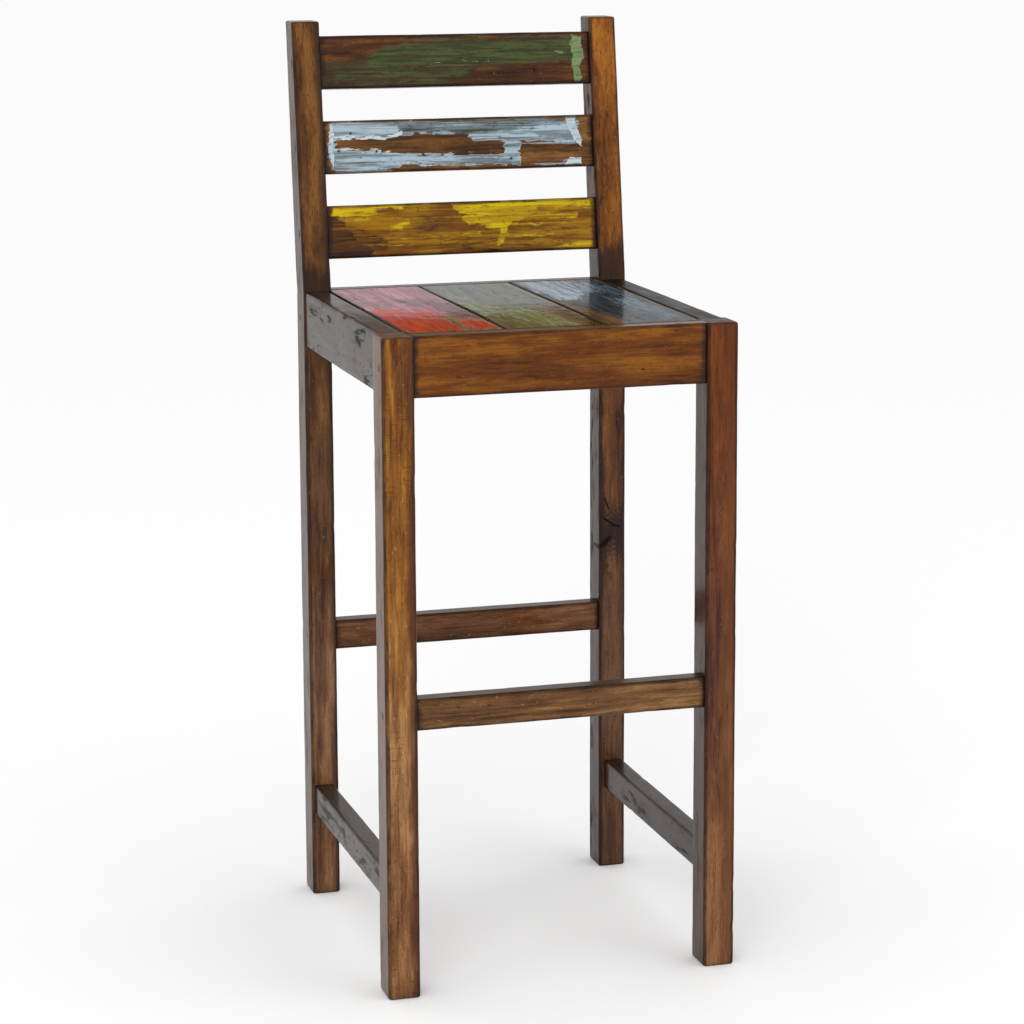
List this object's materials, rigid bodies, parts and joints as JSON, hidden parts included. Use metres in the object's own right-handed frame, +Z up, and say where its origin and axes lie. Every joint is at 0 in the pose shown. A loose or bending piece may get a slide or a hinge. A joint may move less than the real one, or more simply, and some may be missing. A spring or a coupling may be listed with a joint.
{
  "type": "bar stool with footrest",
  "caption": "High four-legged bar stool of square-section wood, with a board seat set in a frame, a leaning back of broad painted slats, side stretchers near the floor and a front footrest.",
  "frame": {"origin": "On the floor, under the middle of the stool's bounding box.", "axes": "+Z is up. The front of the stool, with the footrest, faces -Y, and the back leans towards +Y. +X is to the right seen from the front."},
  "size_m": [0.43, 0.4959, 1.118],
  "materials": {
    "leg_wood": "old hardwood under gloss varnish, dark worn edges",
    "rail_wood": "old hardwood under gloss varnish, grain along the rail",
    "red_paint_wood": "old pink and red paint worn to the wood, gloss varnish",
    "green_paint_wood": "old grey-green paint worn to the wood, gloss varnish",
    "blue_paint_wood": "old blue and white paint worn to the wood, gloss varnish",
    "green_slat_wood": "thin streaks of green paint on brown wood, gloss varnish",
    "white_slat_wood": "thick pale blue paint worn to the wood, gloss varnish",
    "yellow_slat_wood": "thin yellow paint worn to the wood, gloss varnish",
    "batten_wood": "plain sawn hardwood, unvarnished",
    "plug_wood": "dark wooden plug, varnished",
    "screw_steel": "plain steel, dull"
  },
  "bodies": {
    "root": {"front_leg_left": "leg_wood", "front_leg_right": "leg_wood", "rear_leg_left": "leg_wood", "rear_leg_right": "leg_wood", "front_apron": "rail_wood", "rear_apron": "rail_wood", "side_apron_left": "rail_wood", "side_apron_right": "rail_wood", "footrest": "rail_wood", "rear_stretcher": "rail_wood", "side_stretcher_left": "rail_wood", "side_stretcher_right": "rail_wood", "seat_board_left": "red_paint_wood", "seat_board_centre": "green_paint_wood", "seat_board_right": "blue_paint_wood", "back_slat_top": "green_slat_wood", "back_slat_middle": "white_slat_wood", "back_slat_bottom": "yellow_slat_wood", "seat_batten_front": "batten_wood", "seat_batten_rear": "batten_wood", "frame_screws": "screw_steel", "seat_screws": "screw_steel", "batten_screws": "screw_steel", "screw_plugs": "plug_wood"}
  },
  "joints": []
}
